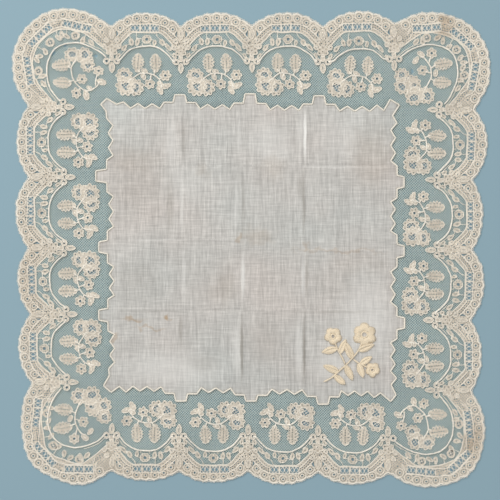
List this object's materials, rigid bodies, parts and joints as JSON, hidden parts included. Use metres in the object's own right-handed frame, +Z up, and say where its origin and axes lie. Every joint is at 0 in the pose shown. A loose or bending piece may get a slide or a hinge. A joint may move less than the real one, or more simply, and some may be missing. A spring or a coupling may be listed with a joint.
{
  "type": "lace handkerchief",
  "caption": "Square linen handkerchief laid flat, with a zigzag-edged centre, a needle lace border of net and flower sprays, and a scalloped outer edge.",
  "frame": {"origin": "middle of the handkerchief's outline, on the surface that it lies on", "axes": "+Z up from that surface, the thinnest way; +X to the right and +Y to the top as it lies before the viewer, with the raised sprig in the lower right corner of the linen"},
  "size_m": [0.3395, 0.3396, 0.0024],
  "materials": {
    "linen": "fine plain-woven linen batiste, washed and ironed, matt, greyish off-white",
    "net": "fine cream cotton net of a small even mesh, matt and very open",
    "lace": "close needle lace of warm cream cotton, matt, with small worked holes",
    "cord": "buttonholed cotton cord, cream, slightly raised and softly shining",
    "embroidery": "padded satin stitch in yellowish cream cotton, with a soft sheen"
  },
  "bodies": {
    "root": {"linen_centre": "linen", "net_ground": "net", "scallop_band": "lace", "linen_edge_cord": "cord", "fleuron_01": "cord", "fleuron_02": "cord", "fleuron_03": "cord", "fleuron_04": "cord", "fleuron_05": "cord", "fleuron_06": "cord", "fleuron_07": "cord", "fleuron_08": "cord", "fleuron_09": "cord", "fleuron_10": "cord", "fleuron_11": "cord", "fleuron_12": "cord", "fleuron_13": "cord", "fleuron_14": "cord", "fleuron_15": "cord", "fleuron_16": "cord", "fleuron_17": "cord", "fleuron_18": "cord", "fleuron_19": "cord", "fleuron_20": "cord", "spray_01": "lace", "spray_02": "lace", "spray_03": "lace", "spray_04": "lace", "spray_05": "lace", "spray_06": "lace", "spray_07": "lace", "spray_08": "lace", "spray_09": "lace", "spray_10": "lace", "spray_11": "lace", "spray_12": "lace", "spray_13": "lace", "spray_14": "lace", "spray_15": "lace", "spray_16": "lace", "spray_17": "lace", "spray_18": "lace", "spray_19": "lace", "spray_20": "lace", "raised_sprig": "embroidery"}
  },
  "joints": []
}
